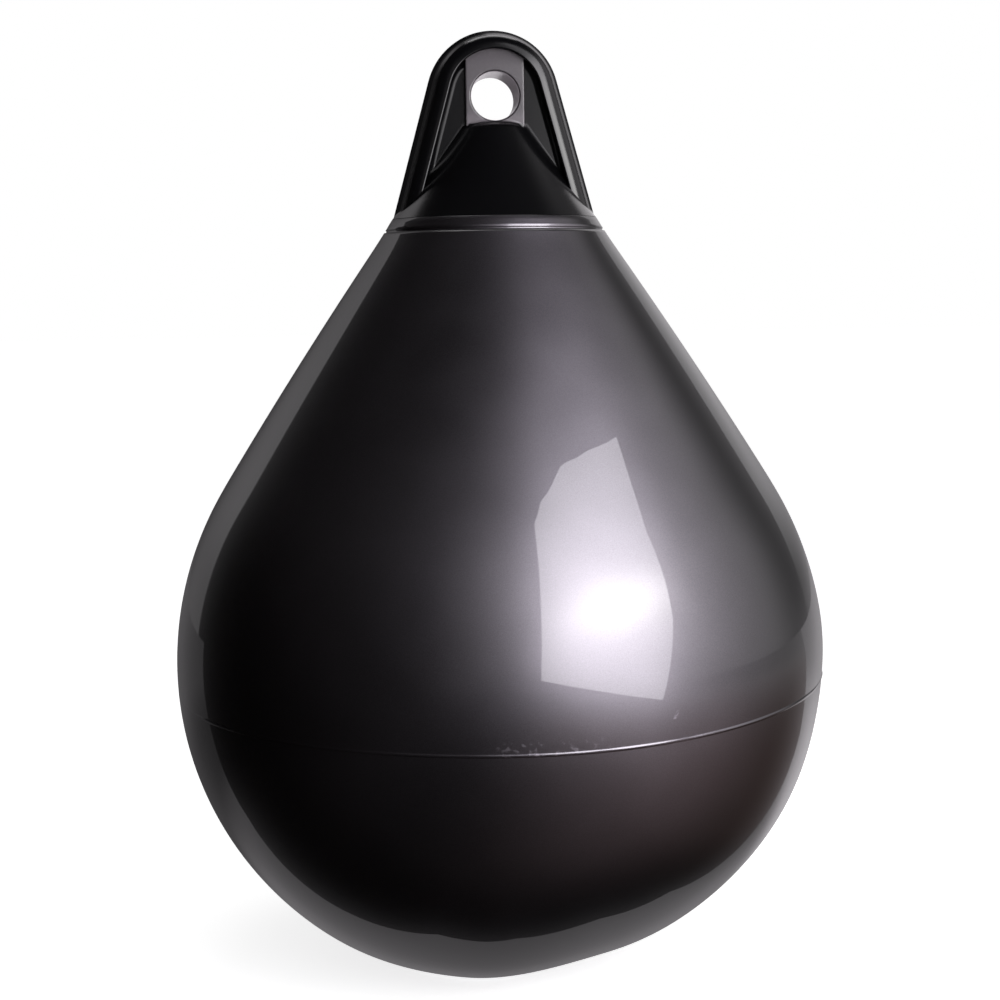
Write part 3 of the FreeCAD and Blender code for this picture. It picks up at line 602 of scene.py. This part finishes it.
lifts = [math.pi / 2 * i / (CLOTH_RINGS - 1) for i in range(CLOTH_RINGS)]
steps = [2 * math.pi * j / CLOTH_STEPS for j in range(CLOTH_STEPS)]
cloth_points = [(CLOTH_R * math.cos(lift) * math.sin(step), CLOTH_R * math.cos(lift) * math.cos(step),
                 CLOTH_FOOT + CLOTH_R * math.sin(lift)) for lift in lifts for step in steps]
cloth = add_stage("dark_cloth", cloth_points, ring_faces(0, CLOTH_RINGS, CLOTH_STEPS),
                  cloth_material)

# The cards: a dark one just above the floor, brown near the buoy and grey far to the right, whose
# edge runs under the buoy and out to where the curtain opens, and a grey one behind that edge.
CARD_EDGE = [(2.4, 1.45), (0.912, 0.530), (0.363, 0.153), (0.206, 0.016), (0.094, -0.080),
             (0.047, -0.097), (0.0, -0.104), (-0.045, -0.099), (-0.092, -0.072), (-0.218, 0.007),
             (-0.398, 0.147), (-1.126, 0.762), (-2.4, 1.83)]
CARD_LIFT = 0.003
CARD_BROWN = (1.0, 0.72, 0.68)
CARD_BROWN_LEVEL = 0.19
CARD_GREY_LEVEL = 0.45
GREY_CARD = (1.0, 0.96, 1.0)
GREY_CARD_GLOW = 1.3
# Where the cards' colours fade in and out, in metres.
BROWN_START = (-0.10, 0.35)
BROWN_REACH = (0.11, 0.20, 0.5, 1.5)
GREY_START = (0.3, 1.1)
GREY_CARD_ACROSS = (-0.01, 0.07)
GREY_CARD_MIDDLE = (0.0, 0.10)
GREY_CARD_FAR = (0.2, 0.5)

card_material, on_card, card_out = bare_material("dark_card")
card_x, card_y, _ = on_card.place().axes()
card_far = length_of(card_x, card_y)
card_brown = card_x.ramp(*BROWN_START) * card_far.band(*BROWN_REACH) * CARD_BROWN_LEVEL
card_grey = card_x.ramp(*GREY_START) * CARD_GREY_LEVEL
on_card.feed(card_out, cloth_lit_by(on_card, glow(card_brown, CARD_BROWN),
                                    glow(card_grey, CLOTH_GREY)))

grey_material, on_grey, grey_out = bare_material("grey_card")
grey_x, grey_y, _ = on_grey.place().axes()
grey_mid = grey_y.ramp(*GREY_CARD_MIDDLE)
grey_far = grey_y.ramp(*GREY_CARD_FAR)
grey_left = 0.31 - grey_mid * 0.215 + grey_far * 0.08
grey_right_more = grey_mid * 0.83 + 0.06 - grey_far * 0.43
grey_level = grey_x.ramp(*GREY_CARD_ACROSS) * grey_right_more + grey_left
on_grey.feed(grey_out, glow(grey_level, GREY_CARD, GREY_CARD_GLOW))

edge_count = len(CARD_EDGE)
card_points = [(x, y, CARD_LIFT) for x, y in CARD_EDGE]
card_points += [(x, y, CARD_LIFT) for y in (-CLOTH_R, CLOTH_R) for x, _ in CARD_EDGE]
card_faces = [(i + row, i + 1 + row, i + 1, i)
              for row in (edge_count, 2 * edge_count) for i in range(edge_count - 1)]
card = add_stage("floor_cards", card_points, card_faces, card_material)
card.data.materials.append(grey_material)
for i in range(edge_count - 1, 2 * (edge_count - 1)):
    card.data.polygons[i].material_index = 1
for piece in (cloth, card):
    piece.visible_camera = False
    piece.visible_diffuse = False
    piece.visible_shadow = False

# The softbox: a tall cloth panel on the right that leans over the buoy, brightest at its lamp.
SOFTBOX = [(0.143, -1.093, 0.191), (0.763, -0.721, 0.020), (0.753, -0.560, 0.390),
           (0.687, -0.429, 0.788), (0.694, -0.367, 0.913), (0.696, -0.318, 1.020),
           (0.619, -0.376, 1.015), (0.553, -0.423, 1.018), (0.491, -0.465, 1.025),
           (0.429, -0.507, 1.033), (0.330, -0.567, 1.057), (0.248, -0.627, 1.059),
           (0.195, -0.663, 1.063), (0.147, -0.724, 1.006)]
SOFTBOX_LAMP = (0.550, -0.670, 0.490)
LAMP_SPREAD = (0.175, 0.079)
SOFTBOX_GLOW = 8.0
SOFTBOX_EDGE = (0.47, 0.46, 0.48)
SOFTBOX_MIDDLE = (1.0, 0.99, 0.98)

softbox_material, on_softbox, softbox_out = bare_material("softbox")
box_x, _, box_z = on_softbox.place().axes()
lamp_far = (((box_x - SOFTBOX_LAMP[0]) / LAMP_SPREAD[0]) ** 2.0
            + ((box_z - SOFTBOX_LAMP[2]) / LAMP_SPREAD[1]) ** 2.0)
box_level = on_softbox.math("EXPONENT", lamp_far * -0.5)
on_softbox.feed(softbox_out, on_softbox.node(
    "Emission", Color=box_level.tint(SOFTBOX_EDGE, SOFTBOX_MIDDLE), Strength=SOFTBOX_GLOW))
softbox = add_stage("softbox", SOFTBOX, [tuple(range(len(SOFTBOX)))], softbox_material)
softbox.visible_camera = False

# The overhead lamp: one soft rectangle above and behind the buoy, tilted towards it, for the plain
# light on its top and for the shadow under it.
LAMP_SIZE = (0.9, 0.6)
LAMP_POWER = 3.4
LAMP_PLACE = (0.05, 0.55, 1.55)
LAMP_TILT = math.radians(-26)

lamp = bpy.data.lights.new("overhead_lamp", "AREA")
lamp.shape = "RECTANGLE"
lamp.size, lamp.size_y = LAMP_SIZE
lamp.energy = LAMP_POWER
overhead = bpy.data.objects.new("overhead_lamp", lamp)
overhead.location = LAMP_PLACE
overhead.rotation_euler = (LAMP_TILT, 0, 0)
overhead.visible_camera = False
bpy.context.scene.collection.objects.link(overhead)
